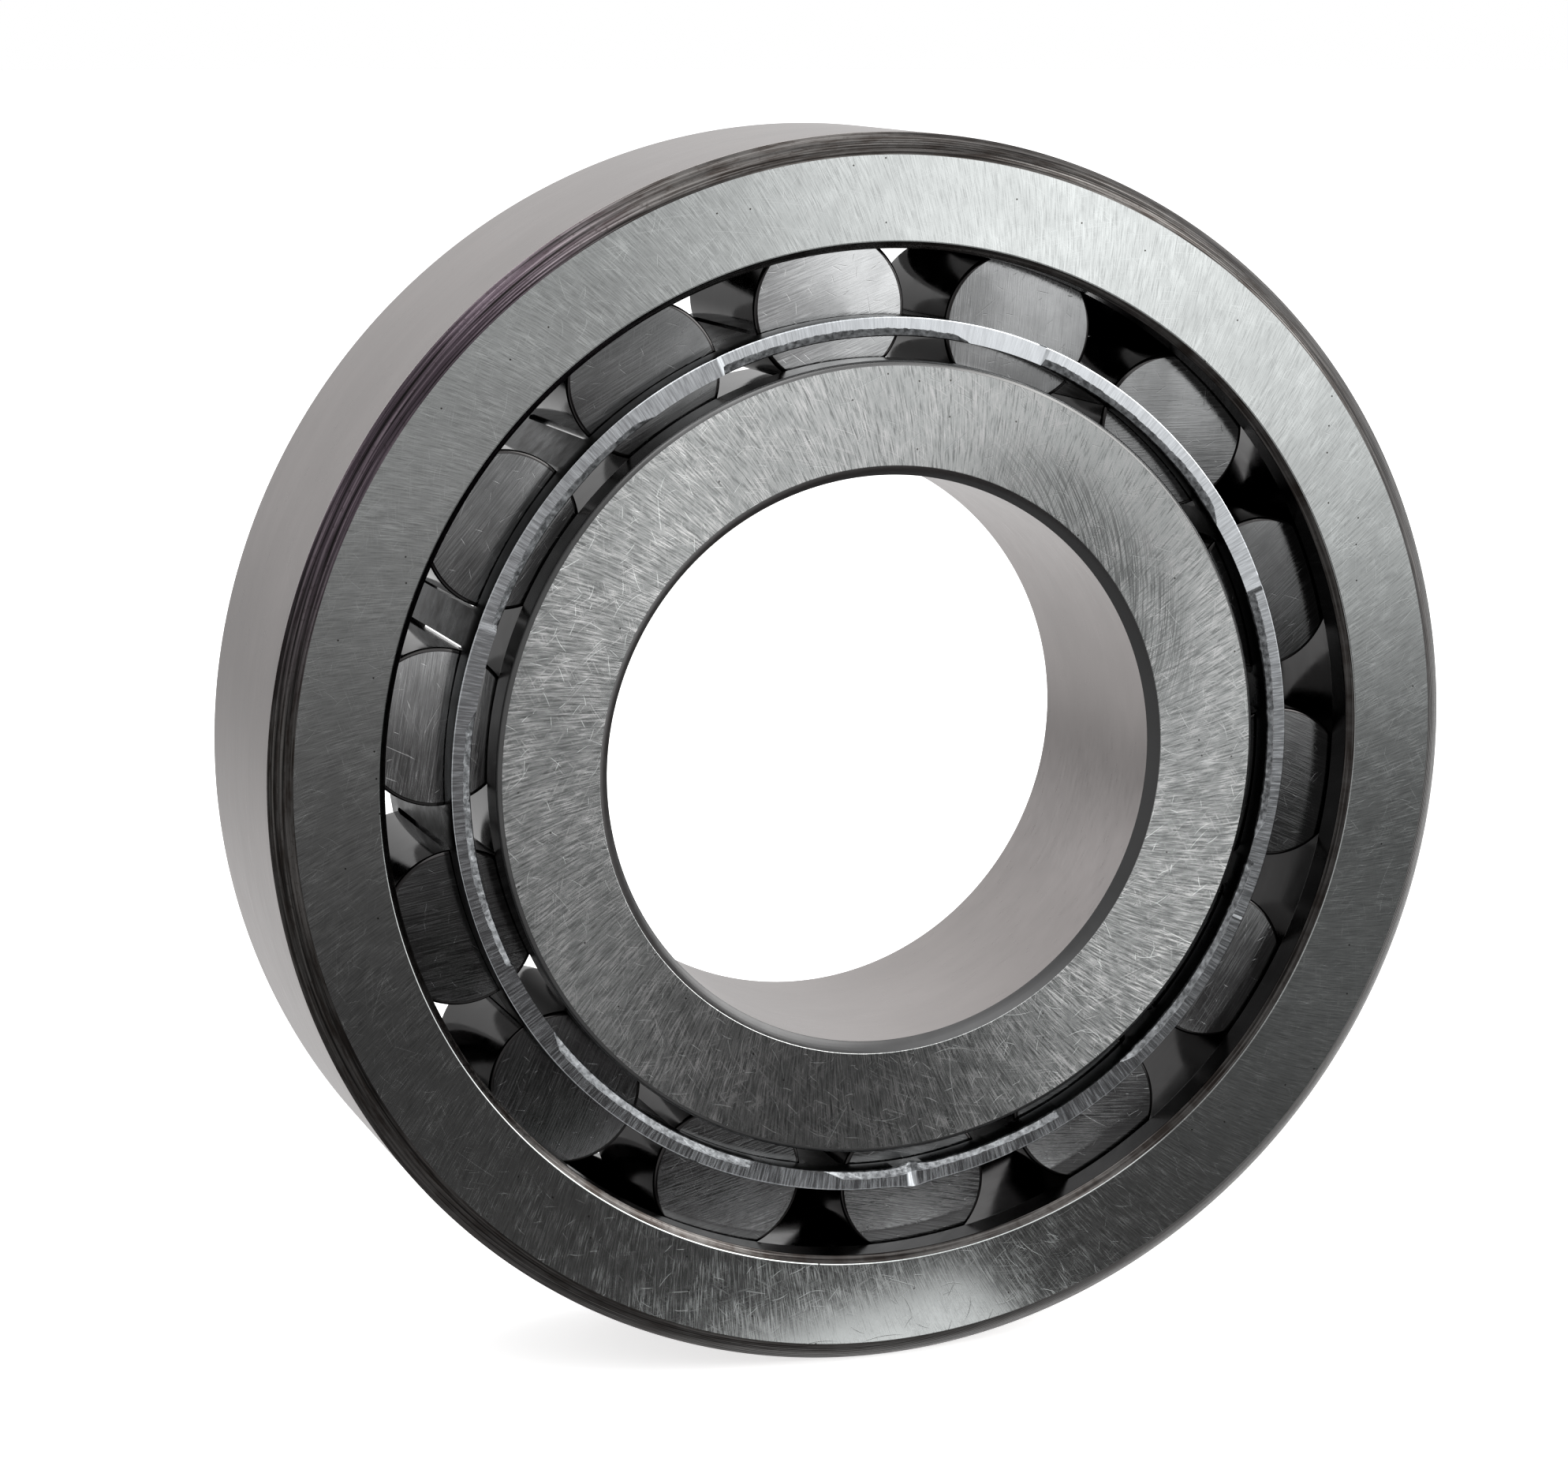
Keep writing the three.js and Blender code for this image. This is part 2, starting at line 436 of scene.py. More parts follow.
class SteelFinish:
    """One steel material: its tree, its position nodes, and its shader."""

    def __init__(self, name, roughness, anisotropic=0.0, rotation=0.0):
        self.material = bpy.data.materials.new(name)
        self.material.use_nodes = True
        self.tree = self.material.node_tree
        self.tree.nodes.clear()
        output = add_node(self.tree, "ShaderNodeOutputMaterial")
        self.shader = add_node(
            self.tree, "ShaderNodeBsdfPrincipled",
            {"Metallic": 1.0, "Roughness": roughness, "Anisotropic": anisotropic,
             "Anisotropic Rotation": rotation})
        self.tree.links.new(self.shader.outputs[0], output.inputs[0])
        if anisotropic > 0:
            grain = add_node(self.tree, "ShaderNodeTangent", direction_type="RADIAL", axis="Y")
            self.tree.links.new(grain.outputs[0], self.shader.inputs["Tangent"])
        self.around = use_group(self.tree, shared_group("Round the Axis", round_the_axis)).outputs

    def swirl(self, twist, fineness, length, seed):
        group = shared_group("Swirl Lines", swirl_lines)
        return use_group(
            self.tree, group,
            {"Twist": twist, "Fineness": fineness, "Length": length, "Seed": seed}).outputs[0]

    def scratches(self, spacing, width, bend, seed):
        group = shared_group("Stray Scratches", stray_scratches)
        return use_group(
            self.tree, group,
            {"Spacing": spacing, "Width": width, "Bend": bend, "Seed": seed}).outputs[0]

    def pits(self, spacing, radius, seed):
        """Small round pits, in about one cell in six of a scattered pattern."""
        tree = self.tree
        parts = add_node(tree, "ShaderNodeSeparateXYZ", {0: self.around["Position"]}).outputs
        flat = combine(
            tree, maths(tree, "DIVIDE", parts[0], spacing), maths(tree, "DIVIDE", parts[2], spacing), seed)
        cells = add_node(
            tree, "ShaderNodeTexVoronoi", {"Vector": flat, "Scale": 1.0}, voronoi_dimensions="3D").outputs
        chance = add_node(tree, "ShaderNodeSeparateColor", {0: cells["Color"]}).outputs[0]
        chosen = maths(tree, "GREATER_THAN", chance, 0.84)
        offset = vector_maths(tree, "SUBTRACT", flat, cells["Position"])
        across = vector_maths(tree, "LENGTH", vector_maths(tree, "MULTIPLY", offset, (1.0, 1.0, 0.0)))
        edge = radius / spacing
        return maths(tree, "MULTIPLY", chosen, smooth_step(tree, across, edge, 0.4 * edge))

    def turning_lines(self, fineness, seed, drift=0.02):
        """Streaks that run round the axis, for turned and honed surfaces."""
        tree = self.tree
        across = maths(tree, "ADD", self.around["Radius"], self.around["Along"])
        heading = vector_maths(tree, "MULTIPLY", self.around["Heading"], (STREAKS_ROUND * drift,) * 3)
        lift = combine(tree, 0.0, maths(tree, "MULTIPLY_ADD", across, fineness, seed), 0.0)
        return noise(tree, vector_maths(tree, "ADD", heading, lift), 1.0, detail=3.0, roughness=0.65)

    def colour(self, value):
        connect(self.tree, value, self.shader.inputs["Base Color"])

    def roughness(self, value):
        connect(self.tree, value, self.shader.inputs["Roughness"])

    def relief(self, *layers):
        """Bump from (height, depth in metres) layers, one on top of the other."""
        previous = None
        for height, depth in layers:
            inputs = {"Height": height, "Strength": 1.0, "Distance": depth}
            if previous is not None:
                inputs["Normal"] = previous
            previous = add_node(self.tree, "ShaderNodeBump", inputs).outputs[0]
        self.tree.links.new(previous, self.shader.inputs["Normal"])


def rgba(colour, strength=1.0):
    return tuple(min(channel * strength, 1.0) for channel in colour) + (1.0,)


# Degrees round the bearing where the inner ring's face carries a patch of painted shade, and where the
# chamfer is violet with a painted highlight.
PAINTED_SHADE_ANGLE = 38.0
TINT_AND_HIGHLIGHT_ANGLE = 143.0

PIT_COLOUR = (0.05, 0.045, 0.04, 1.0)
STAIN_COLOUR = (0.06, 0.054, 0.05, 1.0)
BEVEL_COLOUR = (0.1, 0.1, 0.101)
EDGE_COLOUR = (0.14, 0.14, 0.14)


def ground_face_finish(name, colour, seed, roughness, anisotropic, relief_depth, contrast, fineness, wear):
    """Ground ring face: dense fine scratches that run outwards, stray arcs, pits, soft blotches and a patch
    of painted shade.

    The last argument sets how dark the patch of painted shade beside the bore is; the patch is streaked along
    the sweeping scratches.
    """
    finish = SteelFinish(name, roughness, anisotropic, rotation=0.026)
    tree = finish.tree
    fine = finish.swirl(0.006, fineness, 2.0, seed)
    crossing = finish.swirl(-0.03, fineness * 0.7, 1.5, seed + 7)
    sweeping = finish.swirl(0.055, fineness * 0.55, 2.0, seed + 13)
    marks = finish.scratches(16.0, 0.07, 1.0, seed + 3)
    for spacing, bend, shift in ((3.8, 1.6, 1), (4.6, 1.8, 21), (7.5, 2.0, 2)):
        marks = maths(tree, "MAXIMUM", marks, finish.scratches(spacing, 0.055, bend, seed + shift))
    blotches = noise(tree, finish.around["Position"], 0.11, detail=3.0, roughness=0.6)
    # Painted shade: a dark patch on the face beside the bore, round its angle, streaked along the sweeping
    # scratches.
    off_wear = maths(tree, "ABSOLUTE", maths(tree, "SUBTRACT", finish.around["Angle"], PAINTED_SHADE_ANGLE))
    beside_bore = smooth_step(tree, finish.around["Radius"], 38.5, 34.0)
    painted_shade_patch = maths(tree, "MULTIPLY", smooth_step(tree, off_wear, 42.0, 12.0), beside_bore)
    painted_shade_patch = maths(tree, "MULTIPLY", painted_shade_patch, spread(tree, sweeping, 0.1, 1.0, 0.43, 0.58))
    patches = noise(tree, finish.around["Position"], 0.4, detail=2.0)
    cuts = spread(tree, fine, 0.0, 1.0, 0.47, 0.66)
    cuts = maths(tree, "MAXIMUM", cuts, spread(tree, crossing, 0.0, 0.8, 0.55, 0.7))
    cuts = maths(tree, "MAXIMUM", cuts, spread(tree, sweeping, 0.0, 0.9, 0.57, 0.7))
    cuts = maths(tree, "MULTIPLY", cuts, spread(tree, patches, 0.4, 1.0, 0.35, 0.62))
    shadow = spread(tree, fine, 1.0, 0.0, 0.3, 0.46)
    tone = blend_colour(tree, cuts, rgba(colour), rgba(colour, 1 + contrast))
    tone = blend_colour(tree, maths(tree, "MULTIPLY", shadow, contrast), tone, rgba(colour, 0.35))
    tone = blend_colour(tree, spread(tree, blotches, 0.0, 0.2, 0.42, 0.62), tone, rgba(colour, 0.7))
    # Painted shade darkens the face inside the patch.
    tone = blend_colour(tree, maths(tree, "MULTIPLY", painted_shade_patch, wear), tone, rgba(colour, 0.35))
    tone = blend_colour(tree, maths(tree, "MULTIPLY", marks, contrast * 0.8), tone, rgba(colour, 1.5))
    tone = blend_colour(tree, finish.pits(3.6, 0.13, seed + 4), tone, PIT_COLOUR)
    finish.colour(tone)
    rough = maths(tree, "MULTIPLY_ADD", cuts, 0.08, roughness * 0.8)
    finish.roughness(maths(tree, "MULTIPLY_ADD", marks, contrast * 0.2, rough))
    finish.relief((cuts, relief_depth), (marks, contrast * -0.0017 * MM))
    return finish.material


def satin_finish(name, colour, seed, roughness):
    """Fine-ground outside or bore: warm grey, even, with faint bands round it."""
    finish = SteelFinish(name, roughness, anisotropic=0.5)
    tree = finish.tree
    lines = finish.turning_lines(2.6, seed, drift=0.25)
    bands = finish.turning_lines(0.22, seed + 5, drift=0.05)
    clouds = noise(tree, finish.around["Position"], 0.06, detail=3.0)
    grain = noise(tree, finish.around["Position"], 3.4, detail=2.0)
    cloudy = spread(tree, clouds, 0.0, 0.5, 0.35, 0.65)
    tone = blend_colour(tree, cloudy, rgba(colour, 1.06), rgba(colour, 0.84))
    tone = blend_colour(tree, spread(tree, bands, 0.0, 0.35, 0.4, 0.62), tone, rgba(colour, 0.86))
    tone = blend_colour(tree, spread(tree, lines, 0.0, 0.25, 0.35, 0.65), tone, rgba(colour, 1.15))
    finish.colour(tone)
    coarse = spread(tree, lines, 0.0, 1.0, 0.3, 0.7)
    finish.roughness(maths(tree, "MULTIPLY_ADD", coarse, 0.08, roughness - 0.03))
    finish.relief((lines, 0.0025 * MM), (grain, 0.002 * MM))
    return finish.material


def turned_chamfer_finish(name, colour, seed):
    """Turned chamfer: dark steel in fine grooves, browned in patches, violet near one angle, with painted
    highlights on the crests of its turning lines and painted shade between them; near that angle the painted
    highlights are bright violet.
    """
    finish = SteelFinish(name, 0.2)
    tree = finish.tree
    heading = vector_maths(tree, "MULTIPLY", finish.around["Heading"], (3.0, 0.0, 3.0))
    lift = combine(tree, 0.0, maths(tree, "MULTIPLY_ADD", finish.around["Radius"], 4.5, seed), 0.0)
    lines = noise(tree, vector_maths(tree, "ADD", heading, lift), 1.0, detail=3.0, roughness=0.6)
    patches = finish.turning_lines(0.9, seed + 3, drift=0.35)
    speckle = noise(tree, finish.around["Position"], 1.9, detail=4.0, roughness=0.7)
    off_tint_and_highlight = maths(tree, "ABSOLUTE", maths(tree, "SUBTRACT", finish.around["Angle"], TINT_AND_HIGHLIGHT_ANGLE))
    tint_and_highlight = smooth_step(tree, off_tint_and_highlight, 32.0, 8.0)
    red, green, blue = colour
    brown = rgba((red * 0.5, green * 0.42, blue * 0.38))
    violet = rgba((red * 1.9, green * 1.5, blue * 2.0))
    bright_violet_highlight = rgba((red * 5.5, green * 4.7, blue * 5.6))
    tone = blend_colour(tree, spread(tree, patches, 0.0, 0.9, 0.42, 0.62), rgba(colour, 1.3), brown)
    # Violet temper colour near the angle, also lightened there as a painted highlight.
    tone = blend_colour(tree, maths(tree, "MULTIPLY", tint_and_highlight, 0.75), tone, violet)
    # Painted highlights on the crests of the turning lines, bright violet near the angle.
    ridge_highlights = blend_colour(tree, tint_and_highlight, rgba(colour, 2.7), bright_violet_highlight)
    tone = blend_colour(tree, spread(tree, lines, 0.0, 0.9, 0.52, 0.66), tone, ridge_highlights)
    # Painted shade in the hollows between the turning lines.
    tone = blend_colour(tree, spread(tree, lines, 0.0, 0.95, 0.48, 0.36), tone, rgba(colour, 0.25))
    tone = blend_colour(tree, spread(tree, speckle, 0.0, 0.6, 0.55, 0.72), tone, brown)
    finish.colour(tone)
    finish.roughness(maths(tree, "MULTIPLY_ADD", spread(tree, speckle, 0.0, 1.0, 0.3, 0.7), 0.14, 0.1))
    finish.relief((lines, 0.008 * MM), (speckle, 0.004 * MM))
    return finish.material


def polished_finish(name, colour, seed, roughness):
    """Raceway or roller side: near-mirror, with faint honing lines and a few dull patches."""
    finish = SteelFinish(name, roughness)
    tree = finish.tree
    lines = finish.turning_lines(3.2, seed, drift=0.02)
    clouds = noise(tree, finish.around["Position"], 0.35, detail=3.0)
    honed = spread(tree, lines, 0.0, 0.35, 0.35, 0.65)
    tone = blend_colour(tree, honed, rgba(colour, 1.08), rgba(colour, 0.8))
    finish.colour(blend_colour(tree, spread(tree, clouds, 0.0, 0.3, 0.45, 0.7), tone, rgba(colour, 0.75)))
    dull = spread(tree, clouds, 0.0, 1.0, 0.35, 0.7)
    finish.roughness(maths(tree, "MULTIPLY_ADD", dull, 0.07, roughness - 0.02))
    finish.relief((lines, 0.0012 * MM))
    return finish.material


def roller_end_finish(name, colour, seed, painted_reflection_strength, crossing_turn):
    """Roller end: straight grinding scratches, a second set across them, and stray marks."""
    # Each end's colour is scaled by its brightness from the table, a painted reflection.
    colour = tuple(channel * painted_reflection_strength for channel in colour)
    finish = SteelFinish(name, 0.24)
    tree = finish.tree
    position = finish.around["Position"]
    shifted = vector_maths(tree, "ADD", position, (seed * 3.7, 0.0, seed * 5.3))
    drawn_out = vector_maths(tree, "MULTIPLY", shifted, (0.22, 0.0, 6.5))
    along = noise(tree, drawn_out, 1.0, detail=3.0, roughness=0.6)
    turned = add_node(
        tree, "ShaderNodeVectorRotate", {"Vector": shifted, "Angle": crossing_turn},
        rotation_type="Y_AXIS").outputs[0]
    drawn_out = vector_maths(tree, "MULTIPLY", turned, (0.26, 0.0, 5.0))
    across = noise(tree, drawn_out, 1.0, detail=3.0, roughness=0.6)
    short = finish.scratches(2.4, 0.05, 0.5, seed)
    long = finish.scratches(7.0, 0.06, 0.3, seed + 0.5)
    marks = maths(tree, "MAXIMUM", short, long)
    clouds = noise(tree, shifted, 0.22, detail=3.0)
    cuts = spread(tree, along, 0.0, 1.0, 0.44, 0.66)
    cuts = maths(tree, "MAXIMUM", cuts, spread(tree, across, 0.0, 0.75, 0.54, 0.72))
    shadow = spread(tree, along, 0.4, 0.0, 0.3, 0.47)
    tone = blend_colour(tree, cuts, rgba(colour, 0.92), rgba(colour, 1.2))
    tone = blend_colour(tree, shadow, tone, rgba(colour, 0.45))
    tone = blend_colour(tree, spread(tree, clouds, 0.0, 0.55, 0.4, 0.66), tone, rgba(colour, 0.55))
    tone = blend_colour(tree, maths(tree, "MULTIPLY", marks, 0.5), tone, rgba(colour, 1.7))
    finish.colour(tone)
    finish.roughness(maths(tree, "MULTIPLY_ADD", cuts, 0.12, maths(tree, "MULTIPLY_ADD", marks, 0.1, 0.1)))
    finish.relief((cuts, 0.0022 * MM), (marks, -0.004 * MM))
    return finish.material


def burnished_edge_finish(name, colour):
    """Sheared cage edge, smooth part: bright, with fine lines across the strip."""
    finish = SteelFinish(name, 0.27)
    tree = finish.tree
    lines = finish.swirl(0.0, 4.5, 3.0, 21.0)
    coarse = finish.swirl(0.01, 0.8, 5.0, 33.0)
    streaks = spread(tree, lines, 0.0, 1.0, 0.36, 0.66)
    tone = blend_colour(tree, streaks, rgba(colour, 0.85), rgba(colour, 1.28))
    finish.colour(blend_colour(tree, spread(tree, coarse, 0.0, 0.3, 0.45, 0.7), tone, rgba(colour, 0.7)))
    finish.roughness(maths(tree, "MULTIPLY_ADD", streaks, 0.1, 0.08))
    finish.relief((lines, 0.0016 * MM), (coarse, 0.002 * MM))
    return finish.material


def torn_edge_finish(name, colour):
    """Sheared cage edge, torn part: darker and rough."""
    finish = SteelFinish(name, 0.42)
    tree = finish.tree
    lumps = noise(tree, finish.around["Position"], 1.5, detail=5.0, roughness=0.72)
    tears = finish.swirl(0.05, 1.3, 1.5, 44.0)
    raised = spread(tree, lumps, 0.0, 1.0, 0.38, 0.66)
    finish.colour(blend_colour(tree, raised, rgba(colour, 0.2), rgba(colour, 0.7)))
    finish.roughness(spread(tree, lumps, 0.3, 0.5, 0.3, 0.7))
    finish.relief((lumps, 0.05 * MM), (tears, 0.03 * MM))
    return finish.material


def shaded_pressed_side_finish(name, colour):
    """Cage strip's flat side: rolled and pressed steel, dull, with drawn lines and stains, painted near-black
    as painted shade between the rings and rollers.
    """
    finish = SteelFinish(name, 0.3)
    tree = finish.tree
    lines = finish.turning_lines(2.4, 3.0, drift=0.12)
    stains = noise(tree, finish.around["Position"], 0.3, detail=4.0, roughness=0.65)
    speckle = noise(tree, finish.around["Position"], 3.0, detail=3.0, roughness=0.7)
    drawn = spread(tree, lines, 0.0, 0.6, 0.35, 0.65)
    # Painted shade: the side is painted at about a tenth of the cage's colour, varied by the drawn lines.
    tone = blend_colour(tree, drawn, rgba(colour, 0.11), rgba(colour, 0.07))
    finish.colour(blend_colour(tree, spread(tree, stains, 0.0, 0.6, 0.45, 0.7), tone, STAIN_COLOUR))
    finish.roughness(spread(tree, stains, 0.24, 0.4, 0.35, 0.65))
    finish.relief((lines, 0.008 * MM), (speckle, 0.008 * MM))
    return finish.material


# ------------------------------------------------------------------ rings


def ring_zones(scene, owner, seed, **grain):
    """A material for each zone of a ring's outline; grain says how its faces are ground and how much painted
    shade they carry.
    """
    finish = scene.bearing_finish
    chamfer, raceway = tuple(finish.chamfer_colour), tuple(finish.shaded_raceway_colour)
    return {
        "face": ground_face_finish(owner + " Ground Face", tuple(finish.face_colour), seed, **grain),
        "satin": satin_finish(owner + " Satin Steel", tuple(finish.outside_colour), seed, 0.3),
        "chamfer": turned_chamfer_finish(owner + " Turned Chamfer", chamfer, seed + 2),
        "bevel": satin_finish(owner + " Bevel Steel", BEVEL_COLOUR, seed + 9, 0.32),
        "edge": polished_finish(owner + " Bright Edge", EDGE_COLOUR, seed + 4, 0.24),
        # Raceways and ribs take the near-black colour, painted shade in the recesses.
        "raceway": polished_finish(owner + " Raceway", raceway, seed + 6, 0.12),
        "rib": polished_finish(owner + " Rib", raceway, seed + 8, 0.2),
    }


def undercut(race, rib_face, way_in, last_zone):
    """Corners from a rib's inner face to the raceway, round the grinding relief between them.

    way_in is 1 where the steel lies outside the raceway, and -1 where it lies inside.
    """
    step = math.copysign(1, rib_face) * MM
    return [
        (race - way_in * 0.45 * MM, rib_face, 0.05 * MM, "rib"),
        (race + way_in * 0.2 * MM, rib_face + 0.2 * step, 0.1 * MM, "rib"),
        (race + way_in * 0.2 * MM, rib_face - 0.4 * step, 0.1 * MM, "rib"),
        (race, rib_face - 0.9 * step, 0.05 * MM, last_zone),
    ]


class BEARING_OT_outer_ring(bpy.types.Operator):
    """Turn the outer ring, with a rib at each face and grooves across its chamfers"""

    bl_idname = "bearing.outer_ring"
    bl_label = "Build Outer Ring"

    def execute(self, context):
        ring = context.scene.bearing_ring
        edge, small, ease = 0.12 * MM, 0.07 * MM, 0.8 * MM
        face, chamfer = HALF_WIDTH, ring.outside_chamfer
        rib_face = face - ring.rib_thickness
        rib, race = ring.rib_bore_radius, ring.outer_raceway_radius
        flat = OUTSIDE_RADIUS - chamfer
        shoulder = face - chamfer
        crown, depth, grooves = 0.13 * MM, ring.groove_depth, ring.groove_count
        corners = [
            (rib, -face + ease, small, "chamfer"),
            (rib + ease, -face, small, "face"),
            *grooved_run(
                (flat, -face), (OUTSIDE_RADIUS, -shoulder), crown, depth, grooves, edge, "chamfer"),
            (OUTSIDE_RADIUS, -shoulder, edge, "satin"),
            *grooved_run(
                (OUTSIDE_RADIUS, shoulder), (flat, face), crown, depth, grooves, edge, "chamfer"),
            (flat, face, edge, "face"),
            (rib + ease, face, small, "chamfer"),
            (rib, face - ease, small, "rib"),
            (rib, rib_face, 0.2 * MM, "rib"),
            *undercut(race, rib_face, 1, "raceway"),
            *reversed(undercut(race, -rib_face, 1, "rib")),
            (rib, -rib_face, 0.2 * MM, "rib"),
        ]
        zones = ring_zones(
            context.scene, "Outer Ring", 3.0, roughness=0.06, anisotropic=0.0,
            relief_depth=0.0001 * MM, contrast=0.4, fineness=10.0, wear=0.0)
        piece = turned_mesh("outer_ring_steel", eased_outline(corners), ring.facets, zones)
        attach(piece, "outer_ring")
        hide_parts("outer_ring")
        return {"FINISHED"}


class BEARING_OT_inner_ring(bpy.types.Operator):
    """Turn the inner ring, with a rib at the front and a plain raceway behind it"""

    bl_idname = "bearing.inner_ring"
    bl_label = "Build Inner Ring"

    def execute(self, context):
        ring = context.scene.bearing_ring
        face, bore, race = HALF_WIDTH, ring.bore_radius, ring.inner_raceway_radius
        rib_face = face - ring.rib_thickness
        small = 0.07 * MM
        front_ease, rear_ease, race_ease = 1.1 * MM, 2 * MM, 0.8 * MM
        crown, depth = 0.05 * MM, 0.002 * MM
        rib_ease = 0.5 * MM
        corners = [
            *grooved_run(
                (bore, -face + front_ease), (bore + front_ease, -face), crown, depth, 4, small, "bevel"),
            (bore + front_ease, -face, small, "face"),
            *grooved_run(
                (RIB_TOP_RADIUS - rib_ease, -face), (RIB_TOP_RADIUS, -face + rib_ease),
                0.05 * MM, depth, 2, small, "edge"),
            (RIB_TOP_RADIUS, -face + rib_ease, small, "rib"),
            (RIB_TOP_RADIUS, -rib_face, 0.2 * MM, "rib"),
            *undercut(race, -rib_face, -1, "raceway"),
            *grooved_run((race, face - race_ease), (race - race_ease, face), crown, depth, 3, small, "bevel"),
            (race - race_ease, face, small, "face"),
            *grooved_run(
                (bore + rear_ease, face), (bore, face - rear_ease), 0.2 * MM, depth, 6, small, "bevel"),
            (bore, face - rear_ease, small, "satin"),
        ]
        zones = ring_zones(
            context.scene, "Inner Ring", 11.0, roughness=0.2, anisotropic=0.95,
            relief_depth=0.0014 * MM, contrast=0.75, fineness=4.6, wear=0.85)
        piece = turned_mesh("inner_ring_steel", eased_outline(corners), ring.facets, zones)
        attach(piece, "inner_ring")
        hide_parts("inner_ring")
        return {"FINISHED"}


# ------------------------------------------------------------------ rollers

# How each roller was last set down: direction of its grinding scratches and turn of the crossing set;
# and how bright its end is painted, a painted reflection for how each end catches the light.
ROLLER_ENDS = [
    (-25, 70, 0.38), (40, 35, 0.3), (0, 80, 0.56), (85, 75, 0.74), (20, 20, 1.28),
    (30, 50, 0.45), (50, 15, 0.72), (80, 30, 1.2), (10, 60, 0.3), (65, 80, 0.33),
    (15, 25, 0.5), (-12, 18, 0.75), (-5, 40, 0.78), (55, 70, 0.7),
]


class BEARING_OT_rollers(bpy.types.Operator):
    """Grind the rollers, each with its own scratches, and set them on their circle"""

    bl_idname = "bearing.rollers"
    bl_label = "Build Rollers"

    def execute(self, context):
        settings = context.scene.bearing_roller
        finish = context.scene.bearing_finish
        radius, corner = settings.radius, settings.corner_radius
        end, side = ROLLER_HALF_LENGTH, ROLLER_HALF_LENGTH - 2.2 * MM
        crown = 0.012 * MM
        dome = settings.end_dome

        def end_rows(way):
            return [(share * radius, way * (end - dome * share**2), 0, "end")
                    for share in (0.0, 0.15, 0.3, 0.45, 0.6, 0.75, 0.88)]

        rows = [
            *end_rows(-1),
            (radius - crown, dome - end, corner, "side"),
            (radius, -side, 0, "side"),
            (radius, side, 0, "side"),
            (radius - crown, end - dome, corner, "end"),
            *reversed(end_rows(1)),
        ]
        outline = eased_outline(rows, steps=6)
        # Roller sides take the same near-black colour, painted shade between the rollers.
        shaded_side_steel = polished_finish("Roller Side", tuple(finish.shaded_raceway_colour), 17.0, 0.09)
        for index, name in enumerate(ROLLERS):
            grain, crossing, tone = ROLLER_ENDS[index % len(ROLLER_ENDS)]
            steel = {
                "end": roller_end_finish(
                    f"Roller End {index + 1:02d}", tuple(finish.roller_end_colour), index + 1.0, tone,
                    math.radians(crossing)),
                "side": shaded_side_steel,
            }
            piece = turned_mesh(name + "_steel", outline, settings.facets, steel, closed=False)
            turn = Matrix.Rotation(-math.radians(grain), 4, "Y")
            piece.matrix_world = Matrix.Translation(roller_centre(name)) @ turn
            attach(piece, name)
            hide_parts(name)
        return {"FINISHED"}


# ------------------------------------------------------------------ cage

# Columns of points across each window, and across each bar between two windows.
WINDOW_COLUMNS = 72
BAR_COLUMNS = 10

# Rows of points on each sheared edge: two round its outer corner, shares of the way across its
# smooth part and down its torn part, and one at its inner corner.
SMOOTH_SHARES = (0.0, 0.04, 0.35, 0.65, 0.96, 1.0)
TORN_SHARES = (0.2, 0.45, 0.7, 0.9)
SMOOTH_ROWS = 1 + len(SMOOTH_SHARES)
EDGE_ROWS = 2 + len(SMOOTH_SHARES) + len(TORN_SHARES) + 1


def gentle_waves(angle, seed, periods):
    """Irregular but repeatable wave round the bearing, from about -1 to 1."""
    chance = np.random.default_rng(seed)
    total = 0.0
    for period in periods:
        total += math.sin(period * angle + chance.uniform(0, 2 * math.pi)) * chance.uniform(0.6, 1)
    return total / len(periods)


def angle_between(first, second):
    return (first - second + math.pi) % (2 * math.pi) - math.pi


